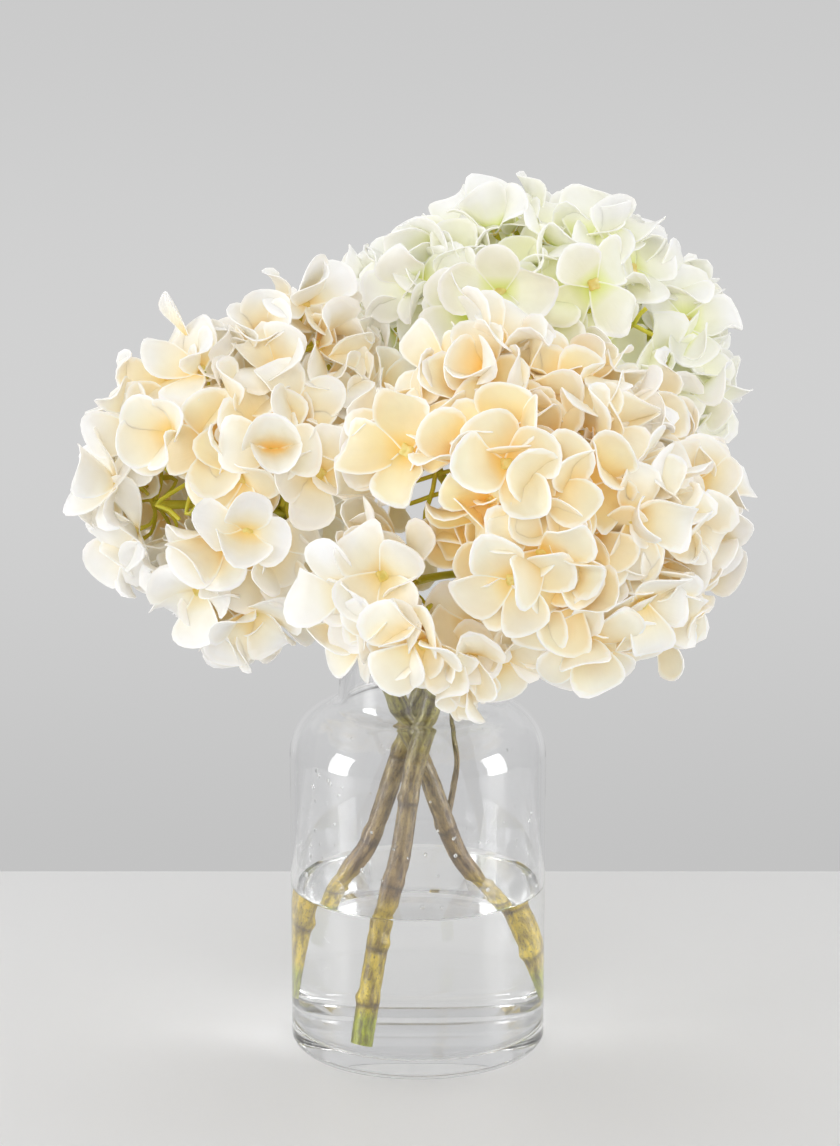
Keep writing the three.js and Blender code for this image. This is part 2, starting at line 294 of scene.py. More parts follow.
def leave_edit():
    """Go back to object mode."""
    bpy.ops.object.mode_set(mode="OBJECT")


def apply_modifier(piece, kind, **values):
    """Add a modifier, set it and apply it."""
    select_only(piece)
    made = piece.modifiers.new(kind.title(), kind)
    for name, value in values.items():
        setattr(made, name, value)
    bpy.ops.object.modifier_apply(modifier=made.name)


def new_piece(name, points, faces, edges=()):
    """A mesh object at the origin from points in millimetres."""
    mesh = bpy.data.meshes.new(name)
    mesh.from_pydata([tuple(c * MM for c in point) for point in points], edges, faces)
    mesh.update()
    piece = bpy.data.objects.new(name, mesh)
    bpy.context.collection.objects.link(piece)
    return piece


def finish_piece(piece, material, slot, *nodes):
    """Give a piece its material and hide the CAD nodes it stands for; the slot is not used."""
    piece.data.materials.clear()
    piece.data.materials.append(material)
    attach(piece, "root")
    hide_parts(*nodes)


# Materials


def new_material(name, **values):
    """A material whose shader sockets are set to plain values."""
    made = bpy.data.materials.new(name)
    made.use_nodes = True
    shader = made.node_tree.nodes["Principled BSDF"]
    for socket, value in values.items():
        shader.inputs[socket.replace("_", " ")].default_value = value
    return made, made.node_tree, shader


def add_node(tree, kind, **settings):
    """A shader node with its settings."""
    made = tree.nodes.new("ShaderNode" + kind)
    for name, value in settings.items():
        setattr(made, name, value)
    return made


def feed(tree, socket, value):
    """Link a socket to a source, or set it to a plain number or colour."""
    if isinstance(value, bpy.types.NodeSocket):
        tree.links.new(value, socket)
    else:
        socket.default_value = (*value, 1) if isinstance(value, tuple) else value


def ramp(tree, source, stops):
    """A colour ramp fed by a socket."""
    made = add_node(tree, "ValToRGB")
    elements = made.color_ramp.elements
    while len(elements) > 1:
        elements.remove(elements[-1])
    elements[0].position = stops[0][0]
    elements[0].color = (*stops[0][1], 1)
    for place, colour in stops[1:]:
        elements.new(place).color = (*colour, 1)
    tree.links.new(source, made.inputs["Fac"])
    return made.outputs["Color"]


def mix_colour(tree, share, first, second, blend="MIX"):
    """Mix two colours; each may be a socket or a plain colour."""
    made = add_node(tree, "Mix", data_type="RGBA", blend_type=blend)
    feed(tree, made.inputs[0], share)
    feed(tree, made.inputs[6], first)
    feed(tree, made.inputs[7], second)
    return made.outputs[2]


def maths(tree, operation, *values, clamp=False):
    """One operation on sockets or plain numbers."""
    made = add_node(tree, "Math", operation=operation, use_clamp=clamp)
    for socket, value in zip(made.inputs, values):
        feed(tree, socket, value)
    return made.outputs[0]


def object_noise(tree, scale):
    """Even noise on the object's own coordinates."""
    place = add_node(tree, "TexCoord")
    made = add_node(tree, "TexNoise")
    made.inputs["Scale"].default_value = scale
    made.inputs["Detail"].default_value = 3.0
    tree.links.new(place.outputs["Object"], made.inputs["Vector"])
    return made.outputs["Fac"]


def streak_noise(tree, source, scale, detail):
    """Noise on a piece's own coordinates, drawn out along it by the scale."""
    stretch = add_node(tree, "Mapping")
    stretch.inputs["Scale"].default_value = scale
    tree.links.new(source, stretch.inputs["Vector"])
    made = add_node(tree, "TexNoise")
    made.inputs["Scale"].default_value = 1.0
    made.inputs["Detail"].default_value = detail
    tree.links.new(stretch.outputs["Vector"], made.inputs["Vector"])
    return made.outputs["Fac"]


def bump(tree, shader, height, strength, distance):
    """Give a shader small relief from a height socket."""
    made = add_node(tree, "Bump")
    made.inputs["Strength"].default_value = strength
    made.inputs["Distance"].default_value = distance
    tree.links.new(height, made.inputs["Height"])
    tree.links.new(made.outputs["Normal"], shader.inputs["Normal"])


def petal_material(name, heart, middle, edge_and_highlight, shade_and_warmth):
    """Soft petals: warm at the heart, partly as painted shade; pale at the rim, with a painted highlight
    along it; warmer painted shade where they lie far below a head's outside; a faint painted glow of light
    through them, brighter on the rim; and faint veins.
    """
    made, tree, shader = new_material(name, Roughness=0.55, Subsurface_Weight=0.6, Subsurface_Scale=0.0006,
                                      IOR=1.4, Sheen_Weight=0.1, Sheen_Roughness=0.5)
    shader.inputs["Subsurface Radius"].default_value = (0.8, 0.8, 0.8)
    petal = add_node(tree, "Attribute", attribute_name="petal")
    parts = add_node(tree, "SeparateColor")
    tree.links.new(petal.outputs["Color"], parts.inputs["Color"])
    along, rim, tint = parts.outputs
    # Warm at the heart: partly the petal's own colour and partly painted warm shade in the floret's cup
    body = ramp(tree, along, [(0.0, heart), (0.15, heart), (0.42, middle), (0.85, edge_and_highlight)])
    # Painted shade: petals that lie far below a head's outside are multiplied towards the warm shade colour,
    # and so are florets by their tint, which holds their own warmth and the painted shade of their area
    warmed = maths(tree, "MULTIPLY", tint, 0.3)
    shade_and_warmth_share = maths(tree, "MULTIPLY_ADD", petal.outputs["Alpha"], 0.85, warmed)
    body = mix_colour(tree, shade_and_warmth_share, body, shade_and_warmth, "MULTIPLY")
    # Painted highlight: the outer rim is lightened to the pale outer colour, where the petal's thin side
    # would catch the light
    rim_highlight = ramp(tree, rim, [(0.86, (0, 0, 0)), (1.0, (0.9, 0.9, 0.9))])
    body = mix_colour(tree, rim_highlight, body, edge_and_highlight)
    # Painted light: florets with a tint below 0 are made paler, towards the pale outer colour
    body = mix_colour(tree, maths(tree, "MULTIPLY", tint, -0.8, clamp=True), body, edge_and_highlight)
    mottle = ramp(tree, object_noise(tree, 60), [(0.35, (0.94, 0.93, 0.9)), (0.65, (1, 1, 1))])
    body = mix_colour(tree, 1.0, body, mottle, "MULTIPLY")
    tree.links.new(body, shader.inputs["Base Color"])
    # Painted light: the petals glow faintly in their own colour, for light passing through them, and brighter
    # on the rim as part of its painted highlight
    dim = mix_colour(tree, 1.0, body, (0.07, 0.07, 0.07), "MULTIPLY")
    glow = mix_colour(tree, rim_highlight, dim, (0.36, 0.355, 0.34))
    tree.links.new(glow, shader.inputs["Emission Color"])
    shader.inputs["Emission Strength"].default_value = PETAL_GLOW
    flat = add_node(tree, "UVMap", uv_map="Petal")
    veins = streak_noise(tree, flat.outputs["UV"], (16, 1.6, 1), 2.0)
    bump(tree, shader, veins, 0.25, 0.0004)
    return made


def clear_material(name, refraction, colour):
    """Glass or water. Lamp rays pass it unbent, so that it casts no shadow on what is behind it."""
    made, tree, shader = new_material(name, Roughness=0.0, IOR=refraction, Transmission_Weight=1.0)
    shader.inputs["Base Color"].default_value = (*colour, 1)
    path = add_node(tree, "LightPath")
    clear = add_node(tree, "BsdfTransparent")
    blend = add_node(tree, "MixShader")
    tree.links.new(path.outputs["Is Shadow Ray"], blend.inputs[0])
    tree.links.new(shader.outputs[0], blend.inputs[1])
    tree.links.new(clear.outputs[0], blend.inputs[2])
    tree.links.new(blend.outputs[0], tree.nodes["Material Output"].inputs["Surface"])
    return made


def bark_material():
    """Streaked bark that follows the stem: brown above the water, ochre below it and green at the cut."""
    made, tree, shader = new_material("olive_bark", Roughness=0.4, Coat_Weight=0.3, Coat_Roughness=0.18)
    stem = add_node(tree, "Attribute", attribute_name="stem")
    notes = add_node(tree, "Attribute", attribute_name="bark")
    parts = add_node(tree, "SeparateColor")
    tree.links.new(notes.outputs["Color"], parts.inputs["Color"])
    height, node, cut = parts.outputs
    base = ramp(tree, height, [(0.14, (0.5, 0.38, 0.035)), (0.245, (0.42, 0.3, 0.035)),
                               (0.275, (0.24, 0.165, 0.08)), (0.45, (0.24, 0.18, 0.075)),
                               (0.52, (0.27, 0.24, 0.07)), (0.8, (0.3, 0.3, 0.05))])
    green = ramp(tree, cut, [(0.2, (0, 0, 0)), (0.5, (1, 1, 1))])
    base = mix_colour(tree, green, base, (0.3, 0.33, 0.015))
    streaks = streak_noise(tree, stem.outputs["Vector"], (2.2, 2.2, 0.13), 5.0)
    tone = ramp(tree, streaks, [(0.34, (0.42, 0.35, 0.28)), (0.49, (0.92, 0.9, 0.85)),
                                (0.64, (1.5, 1.5, 1.4))])
    base = mix_colour(tree, 1.0, base, tone, "MULTIPLY")
    specks = streak_noise(tree, stem.outputs["Vector"], (6, 6, 0.9), 2.0)
    speck_share = ramp(tree, specks, [(0.58, (0, 0, 0)), (0.68, (0.8, 0.8, 0.8))])
    base = mix_colour(tree, speck_share, base, (0.09, 0.055, 0.03))
    base = mix_colour(tree, maths(tree, "MULTIPLY", node, 0.85), base, (0.07, 0.04, 0.02))
    tree.links.new(base, shader.inputs["Base Color"])
    bump(tree, shader, maths(tree, "ADD", streaks, specks), 0.7, 0.0009)
    return made


def green_material():
    """Olive-lime rays and stalks inside the heads."""
    made, tree, shader = new_material("green_stalk", Roughness=0.5, Subsurface_Weight=0.2,
                                      Subsurface_Scale=0.002)
    base = ramp(tree, object_noise(tree, 90), [(0.35, (0.5, 0.48, 0.03)), (0.65, (0.68, 0.64, 0.06))])
    tree.links.new(base, shader.inputs["Base Color"])
    bump(tree, shader, object_noise(tree, 300), 0.3, 0.0004)
    return made


def bud_material():
    """Pale yellow buds at the hearts of the florets."""
    made, tree, shader = new_material("yellow_bud", Roughness=0.55, Subsurface_Weight=0.3,
                                      Subsurface_Scale=0.002)
    base = ramp(tree, object_noise(tree, 300), [(0.35, (0.8, 0.62, 0.15)), (0.65, (0.92, 0.8, 0.34))])
    tree.links.new(base, shader.inputs["Base Color"])
    return made


# Vase and water


def arc(centre_r, centre_z, radius, start, stop, steps):
    """Points of an arc in the half section, as radius and height."""
    points = []
    for i in range(steps + 1):
        angle = math.radians(start + (stop - start) * i / steps)
        points.append((centre_r + radius * math.cos(angle), centre_z + radius * math.sin(angle)))
    return points


def wall_profile(inset, floor_z, floor_round):
    """Half outline from the floor to the foot of the neck."""
    shoulder_centre = BODY_RADIUS - SHOULDER_RADIUS
    reach = SHOULDER_RADIUS + FILLET_RADIUS
    turn = math.acos((NECK_RADIUS + FILLET_RADIUS - shoulder_centre) / reach)
    fillet_r = shoulder_centre + reach * math.cos(turn)
    fillet_z = STRAIGHT_HEIGHT + reach * math.sin(turn)
    turn = math.degrees(turn)
    radius = BODY_RADIUS - inset
    corner = arc(radius - floor_round, floor_z + floor_round, floor_round, -90, 0, 18)
    shoulder = arc(shoulder_centre, STRAIGHT_HEIGHT, SHOULDER_RADIUS - inset, 0, turn, 20)
    fillet = arc(fillet_r, fillet_z, FILLET_RADIUS + inset, 180 + turn, 180, 12)
    straight = [(radius, corner[-1][1] + (STRAIGHT_HEIGHT - corner[-1][1]) * i / 6) for i in range(1, 6)]
    return [(0, floor_z)] + corner + straight + shoulder + fillet[1:]


def spun(name, profile):
    """Spin a half section about the upright axis into a closed shell."""
    edges = [(i, i + 1) for i in range(len(profile) - 1)]
    piece = new_piece(name, [(r, 0, z) for r, z in profile], [], edges)
    edit_all(piece)
    bpy.ops.mesh.spin(steps=ROUND_STEPS, angle=2 * math.pi, center=(0, 0, 0), axis=(0, 0, 1))
    bpy.ops.mesh.select_all(action="SELECT")
    bpy.ops.mesh.remove_doubles(threshold=0.00001)
    bpy.ops.mesh.normals_make_consistent(inside=False)
    leave_edit()
    select_only(piece)
    bpy.ops.object.shade_smooth_by_angle(angle=GLASS_ANGLE)
    return piece


def make_vase():
    """The glass, with a slightly hollow underside and a rounded lip."""
    hollow = []
    for i in range(HOLLOW_STEPS + 1):
        share = i / HOLLOW_STEPS
        hollow.append((HOLLOW_RADIUS * share, BASE_HOLLOW * (0.5 + 0.5 * math.cos(math.pi * share))))
    foot = [(BODY_RADIUS - BASE_ROUND - 0.15, 0)]
    outside = hollow + foot + wall_profile(0, 0, BASE_ROUND)[1:]
    inside = wall_profile(WALL, FLOOR, BASE_ROUND + 2)
    lip = arc(RIM_RADIUS - WALL / 2, VASE_HEIGHT - WALL / 2, WALL / 2, 0, 180, 16)
    vase = spun("vase_glass", outside + lip + inside[::-1])
    finish_piece(vase, clear_material("clear_glass", 1.5, (0.994, 0.996, 1)), "glass", "vase")


def make_water(material):
    """The water, whose top rises in a curve where it meets the glass."""
    skin = [point for point in wall_profile(WALL - WATER_SINK, FLOOR - WATER_SINK, BASE_ROUND + 2)
            if point[1] < WATER_LEVEL - 4]
    radius = BODY_RADIUS - WALL + WATER_SINK
    rise = []
    for i in range(MENISCUS_STEPS + 1):
        share = i / MENISCUS_STEPS
        rise.append((radius - MENISCUS_REACH * share, WATER_LEVEL + MENISCUS * (1 - share) ** 3))
    water = spun("water_body", skin + rise + [(0, WATER_LEVEL)])
    finish_piece(water, material, "water", "water")


def make_drops(material):
    """Flat drops that cling to the inside of the vase above the water."""
    bpy.ops.object.select_all(action="DESELECT")
    bpy.ops.mesh.primitive_uv_sphere_add(segments=10, ring_count=6, radius=1)
    points, faces = take_mesh(bpy.context.active_object)
    draw = random.Random(5)
    drops = []
    for _ in range(DROPS):
        size = draw.uniform(*DROP_SIZE)
        drop = points * np.array((DROP_FLATNESS, 1, 1.15)) * size
        drop += np.array((BODY_RADIUS - WALL - DROP_FLATNESS * size * 0.9, 0, 0))
        drop += np.array((0, 0, WATER_LEVEL + DROP_LOWEST + DROP_SPREAD * draw.random() ** 2))
        drops.append(drop @ np.array(Matrix.Rotation(draw.uniform(0, 2 * math.pi), 3, "Z")).T)
    piece = joined("wall_drops", drops, faces)
    select_only(piece)
    bpy.ops.object.shade_smooth()
    finish_piece(piece, material, "water", "water")


# Stems


def smooth_path(points, steps):
    """Evenly spaced points and directions on a smooth curve through the given ones."""
    given = [Vector(p) for p in points]
    ends = [given[0] * 2 - given[1]] + given + [given[-1] * 2 - given[-2]]
    fine = []
    for i in range(1, len(ends) - 2):
        a, b, c, d = ends[i - 1:i + 3]
        for j in range(12):
            t = j / 12
            fine.append(0.5 * ((2 * b) + (c - a) * t + (2 * a - 5 * b + 4 * c - d) * t ** 2
                               + (3 * b - a - 3 * c + d) * t ** 3))
    fine.append(given[-1])
    lengths = [0.0]
    for a, b in zip(fine, fine[1:]):
        lengths.append(lengths[-1] + (b - a).length)
    places = []
    k = 0
    for i in range(steps + 1):
        goal = lengths[-1] * i / steps
        while k < len(fine) - 2 and lengths[k + 1] < goal:
            k += 1
        share = (goal - lengths[k]) / max(lengths[k + 1] - lengths[k], 1e-9)
        places.append(fine[k].lerp(fine[k + 1], share))
    return places


def tube_rings(places, radii, sides, ridge=None):
    """Rings of points about a path, with a frame that doesn't twist."""
    heading = (places[1] - places[0]).normalized()
    aside = heading.orthogonal().normalized()
    points = []
    for i, place in enumerate(places):
        before = places[max(i - 1, 0)]
        after = places[min(i + 1, len(places) - 1)]
        turned = (after - before).normalized()
        aside = heading.rotation_difference(turned) @ aside
        heading = turned
        other = heading.cross(aside)
        for j in range(sides):
            angle = 2 * math.pi * j / sides
            radius = radii[i] * (ridge(i, angle) if ridge else 1.0)
            points.append(place + (aside * math.cos(angle) + other * math.sin(angle)) * radius)
    return points


def tube_faces(start, rings, sides):
    """Faces of a closed tube whose points start at the given number."""
    faces = []
    for i in range(rings - 1):
        for j in range(sides):
            k = (j + 1) % sides
            low = start + i * sides
            faces.append((low + j, low + k, low + sides + k, low + sides + j))
    faces.append(tuple(start + j for j in reversed(range(sides))))
    faces.append(tuple(start + (rings - 1) * sides + j for j in range(sides)))
    return faces


def add_tube(points, faces, places, radii, sides, ridge=None):
    """Add a closed tube about a path to the lists of points and faces."""
    start = len(points)
    points.extend(tube_rings(places, radii, sides, ridge))
    faces.extend(tube_faces(start, len(places), sides))


def bark_at(share, angle, nodes, phases):
    """How much a stem swells at a point, and how deep it lies in the dark scar below a node."""
    swell = 0.035 * math.sin(3 * angle + phases[0] + 9 * share) + 0.02 * math.sin(7 * angle + phases[1])
    swell += 0.04 * math.sin(share * 23 + phases[2])
    scar = 0.0
    for k, place in enumerate(nodes):
        facing = 0.5 + 0.5 * math.cos(angle - phases[0] - 2.2 * k)
        swell += (0.03 + 0.2 * facing ** 2) * math.exp(-((share - place) / 0.009) ** 2)
        swell -= 0.05 * math.exp(-((share - place - 0.02) / 0.007) ** 2)
        scar = max(scar, math.exp(-((share - place + 0.009 + 0.006 * facing) / 0.0045) ** 2))
    return swell, scar


def make_stem(name, material):
    """A woody stem with its twigs, and the notes that its bark is painted from."""
    stem = STEMS[name]
    draw = random.Random(name)
    points = []
    faces = []
    spots = []
    notes = []
    for number, branch in enumerate([stem] + [TWIGS[key] for key in stem["twigs"]]):
        steps, sides, taper = (TWIG_STEPS, TWIG_SIDES, 0.5) if number else (STEM_STEPS, STEM_SIDES, 0.0)
        places = smooth_path(branch["points"], steps)
        phases = [draw.uniform(0, 6.28) for _ in range(3)]
        radii = [branch["radius"] * (1 - taper * i / steps + draw.uniform(-0.015, 0.015))
                 for i in range(steps + 1)]

        def ridge(i, angle):
            return 1 + bark_at(i / steps, angle, branch["nodes"], phases)[0]

        add_tube(points, faces, places, radii, sides, ridge)
        start = draw.uniform(0, 40)
        reach = sum((b - a).length for a, b in zip(places, places[1:]))
        for i, place in enumerate(places):
            cut = 0 if number else max(1 - reach * i / steps / CUT_LENGTH, 0)
            for j in range(sides):
                angle = 2 * math.pi * j / sides
                scar = bark_at(i / steps, angle, branch["nodes"], phases)[1]
                spots.append((math.cos(angle) + start, math.sin(angle), reach * i / steps))
                notes.append((place.z / 300, scar, cut, 1))
    piece = new_piece(name + "_bark", points, faces)
    place = piece.data.attributes.new("stem", "FLOAT_VECTOR", "POINT")
    place.data.foreach_set("vector", np.array(spots, dtype=np.float32).ravel())
    colour = piece.data.attributes.new("bark", "FLOAT_COLOR", "POINT")
    colour.data.foreach_set("color", np.array(notes, dtype=np.float32).ravel())
    select_only(piece)
    bpy.ops.object.shade_smooth_by_angle(angle=SMOOTH_ANGLE)
    finish_piece(piece, material, "bark", name)


# Florets


def petal_template():
    """A flat sepal on a unit disc of quads, one unit thick in z."""
    bpy.ops.object.select_all(action="DESELECT")
    bpy.ops.mesh.primitive_circle_add(vertices=PETAL_SIDES, radius=1, fill_type="NOTHING")
    disc = bpy.context.active_object
    edit_all(disc)
    bpy.ops.mesh.fill_grid(span=PETAL_COLUMNS)
    bpy.ops.mesh.select_all(action="SELECT")
    bpy.ops.mesh.normals_make_consistent(inside=False)
    leave_edit()
    disc.data.transform(Matrix.Rotation(math.radians(60), 4, "Z"))
    apply_modifier(disc, "SOLIDIFY", thickness=1.0, offset=-1.0)
    return take_mesh(disc)


def bud_template():
    """A small flattened ball with four lobes."""
    bpy.ops.object.select_all(action="DESELECT")
    bpy.ops.mesh.primitive_uv_sphere_add(segments=16, ring_count=7, radius=1)
    ball = bpy.context.active_object
    for vertex in ball.data.vertices:
        x, y, z = vertex.co
        lobes = 1 + 0.22 * math.cos(4 * math.atan2(y, x)) * math.hypot(x, y)
        dent = 0.35 * math.exp(-8 * (x * x + y * y)) if z > 0 else 0
        vertex.co = (x * lobes, y * lobes, 0.62 * z - dent)
    return take_mesh(ball)


def take_mesh(piece):
    """The points and faces of a template object, which is then removed."""
    points = np.array([vertex.co[:] for vertex in piece.data.vertices])
    faces = [tuple(face.vertices) for face in piece.data.polygons]
    bpy.data.objects.remove(piece)
    return points, faces


def bent_petal(template, shape):
    """The template as one petal that starts at the floret's centre and runs along +X."""
    across = template[:, 0]
    along = (template[:, 1] + 1) / 2
    depth = template[:, 2] - template[:, 2].min()
    rim = np.sqrt(across ** 2 + template[:, 1] ** 2)
    side = across * shape["width"] / 2 * np.minimum(0.3 + 1.05 * along, 1.22)
    length = shape["length"] + PETAL_BASE
    steps = np.linspace(0, 1, 41)
    settled = np.sin(np.minimum(steps / 0.55, 1) * math.pi / 2)
    slopes = shape["foot"] + (shape["lift"] - shape["foot"]) * settled + shape["tip"] * steps ** 3
    run = np.cumsum(np.cos(slopes)) * length / 41 - PETAL_BASE
    rise = np.cumsum(np.sin(slopes)) * length / 41
    slope = np.interp(along, steps, slopes)
    hollow = shape["cup"] * side ** 2 / shape["width"] * (0.5 + 0.5 * along)
    wave = shape["wave"] * rim ** 2 * np.sin(shape["phase"] + 2.8 * across + 3.4 * along)
    free = np.clip(along * 1.6 - 0.25, 0, 1)
    twist = shape["twist"] * free * along
    offset = hollow + free * (wave + shape["roll"] * rim ** 4) + depth * PETAL_THICK
    beside = side * np.cos(twist) - offset * np.sin(twist)
    offset = side * np.sin(twist) + offset * np.cos(twist)
    x = np.interp(along, steps, run) - np.sin(slope) * offset
    z = np.interp(along, steps, rise) + np.cos(slope) * offset
    return np.stack([x, beside + shape["skew"] * along ** 2, z], axis=1), across, along, rim


def floret_shape(draw, openness):
    """Random shapes for the four petals of one floret. Openness 0 is cupped and 1 is flat."""
    shapes = []
    pair = draw.uniform(-26, 26)
    for i in range(4):
        lift = 78 - 78 * openness + (pair if i % 2 else -pair) + draw.uniform(-16, 16)
        shapes.append({
            "length": PETAL_LENGTH * draw.uniform(0.88, 1.1),
            "width": PETAL_WIDTH * draw.uniform(0.85, 1.1),
            "foot": math.radians(0.45 * lift + draw.uniform(-6, 6)),
            "lift": math.radians(lift),
            "tip": math.radians(draw.uniform(-85, 30)),
            "cup": draw.uniform(-0.3, 2.0),
            "wave": draw.uniform(0.6, 2.9),
            "roll": draw.uniform(-3.2, 0.8),
            "twist": math.radians(draw.uniform(-38, 38)),
            "phase": draw.uniform(0, 6.28),
            "skew": draw.uniform(-4, 4),
        })
    return shapes


def shade_depth_share(points, lumps):
    """How far points lie below the outside of the heads, as the share of the petals' painted shade: 0 at the
    outside, 1 at the shade depth and below.
    """
    deepest = np.full(len(points), -1.0)
    for lump in lumps:
        away = np.sqrt(((points - np.array(lump[:3])) ** 2).sum(axis=1))
        deepest = np.maximum(deepest, lump[3] - away)
    return np.clip(deepest / SHADE_DEPTH, 0, 1)


class Bunch:
    """Collects the petals, buds and stalks of one head."""

    def __init__(self, name, petal, bud):
        self.name = name
        self.lumps = [lump for head in HEADS.values() for lump in head["lumps"]]
        self.petal_points, self.petal_faces = petal
        self.bud_points, self.bud_faces = bud
        self.petals = []
        self.petal_notes = []
        self.petal_flat = []
        self.buds = []
        self.stalk_points = []
        self.stalk_faces = []

    def add_floret(self, place, facing, roll, shapes, scale, tint, root):
        """One floret at a place, looking along facing, on a stalk from root."""
        turn = facing.to_track_quat("Z", "X").to_matrix()
        for i, shape in enumerate(shapes):
            points, across, along, rim = bent_petal(self.petal_points, shape)
            spin = Matrix.Rotation(roll + i * math.pi / 2, 3, "Z")
            points[:, 2] += 0.35 * (i % 2)
            world = (points * scale) @ np.array(turn @ spin).T + np.array(place)
            self.petals.append(world)
            # Notes for the petal colours: along the petal, towards the rim, the tint, and the share of
            # painted shade from lying far below a head's outside
            notes = np.stack([along, rim, np.full(len(along), tint), shade_depth_share(world, self.lumps)], axis=1)
            self.petal_notes.append(notes)
            self.petal_flat.append(np.stack([(across + 1) / 2 + 3 * tint + i, along], axis=1))
        spin = np.array(turn @ Matrix.Rotation(roll + 0.4, 3, "Z")).T
        bud = self.bud_points * BUD_RADIUS * scale + np.array((0, 0, 2.2))
        self.buds.append(bud @ spin + np.array(place))
        foot = place - facing * 0.5
        neck = place - facing * 7
        bend = root.lerp(neck, 0.5) - facing * 2
        path = smooth_path([root, bend, neck, foot], 7)
        radii = [STALK_RADIUS * swell for swell in STALK_SWELL]
        add_tube(self.stalk_points, self.stalk_faces, path, radii, STALK_SIDES)

    def add_ray(self, root, knob):
        """A thick green ray from the stem's tip to the middle of a lump."""
        bend = root.lerp(knob, 0.5) + Vector((0, 0, 2))
        path = smooth_path([root, bend, knob], RAY_STEPS)
        radii = [RAY_RADIUS * (1.25 - 0.35 * math.sin(math.pi * k / RAY_STEPS)) for k in range(RAY_STEPS + 1)]
        add_tube(self.stalk_points, self.stalk_faces, path, radii, RAY_SIDES)

    def add_bare_stalk(self, root, start, end):
        """A stalk without a floret, which is seen in a gap."""
        bend = start.lerp(end, 0.5) + Vector((0, 0, 1))
        path = smooth_path([root, start, bend, end], BARE_STEPS)
        radii = [BARE_RADIUS] * (BARE_STEPS + 1)
        add_tube(self.stalk_points, self.stalk_faces, path, radii, RAY_SIDES)

    def build(self, petal_paint, bud_paint, green_paint, slot):
        """Make the head's three pieces from what has been collected."""
        petals = joined(self.name + "_petals", self.petals, self.petal_faces)
        notes = petals.data.attributes.new("petal", "FLOAT_COLOR", "POINT")
        notes.data.foreach_set("color", np.concatenate(self.petal_notes).astype(np.float32).ravel())
        flat = petals.data.uv_layers.new(name="Petal")
        corner = np.empty(len(petals.data.loops), dtype=np.int32)
        petals.data.loops.foreach_get("vertex_index", corner)
        flat.data.foreach_set("uv", np.concatenate(self.petal_flat)[corner].astype(np.float32).ravel())
        select_only(petals)
        bpy.ops.object.shade_smooth_by_angle(angle=SMOOTH_ANGLE)
        finish_piece(petals, petal_paint, slot, self.name)
        buds = joined(self.name + "_buds", self.buds, self.bud_faces)
        select_only(buds)
        bpy.ops.object.shade_smooth()
        finish_piece(buds, bud_paint, slot, self.name)
        stalks = new_piece(self.name + "_stalks", self.stalk_points, self.stalk_faces)
        select_only(stalks)
        bpy.ops.object.shade_smooth_by_angle(angle=SMOOTH_ANGLE)
        finish_piece(stalks, green_paint, slot, self.name)


def joined(name, copies, faces):
    """One mesh object from many copies of a template, each given by its points in millimetres."""
    count = len(copies[0])
    every = [tuple(v + k * count for v in face) for k in range(len(copies)) for face in faces]
    return new_piece(name, np.concatenate(copies).tolist(), every)


def floret_shells(head):
    """The balls that a head's florets sit on: the lumps drawn in by the depth of a floret."""
    heart = Vector(head["heart"])
    shells = []
    for lump in head["lumps"]:
        middle = Vector(lump[:3])
        out = (middle - heart).normalized()
        shells.append((middle - out * LUMP_PULL, out, lump[3] + LUMP_PULL - FLORET_DEPTH))
    return shells


def look(turn, tilt):
    """A direction from its turn to the right of the camera and its tilt upwards, in degrees."""
    turn, tilt = math.radians(turn), math.radians(tilt)
    return Vector((math.sin(turn) * math.cos(tilt), -math.cos(turn) * math.cos(tilt), math.sin(tilt)))


def floret_places(head, own_shells, every_shell, draw):
    """Places and outward directions spread evenly over the outside of a head."""
    golden = math.pi * (3 - math.sqrt(5))
    offers = []
    for middle, out, radius in own_shells:
        for i in range(PLACES_A_LUMP):
            height = 1 - 2 * (i + 0.5) / PLACES_A_LUMP
            around = math.sqrt(1 - height * height)
            direction = Vector((around * math.cos(golden * i), around * math.sin(golden * i), height))
            if direction.dot(out) > LEAST_OUTWARD:
                offers.append((middle + direction * radius, direction, middle))
    draw.shuffle(offers)
    keys = [(Vector(key[:3]), look(*key[3:5])) for key in head["key"]]
    spots = [(Vector(spot[:3]), spot[3]) for spot in head["open"]]
    kept = []
    for place, direction, middle in offers:
        if any((place - other[0]).length < FLORET_SPACING for other in kept):
            continue
        if any((place - shell[0]).length < BURIED_SHARE * shell[2] for shell in every_shell):
            continue
        if any(in_gap(place - spot, room) for spot, room in spots):
            continue
        if any(crowds(place - key, facing) for key, facing in keys):
            continue
        kept.append((place, direction, middle))
    return kept


def crowds(away, facing):
    """Whether a place is too near a key floret, which needs more room in front than behind."""
    return away.length < (KEY_FRONT if away.dot(facing) > KEY_BEHIND else KEY_SPACE)


def in_gap(away, room):
    """Whether a place lies in a gap, which runs straight back from the camera's side of the head."""
    return math.hypot(away.x, away.z) < room and abs(away.y) < GAP_DEPTH


def nearest_middle(shells, place):
    """The middle of the lump that lies nearest to a place."""
    return min((shell[0] for shell in shells), key=lambda spot: (spot - place).length)


def with_painted_shade_and_light(tint, place, areas):
    """A floret's tint, made warmer with painted shade and paler with painted light by the areas that it lies
    in.
    """
    for x, y, z, reach, amount in areas:
        away = (place - Vector((x, y, z))).length / reach
        tint += amount * max(1 - away * away, 0)
    return tint


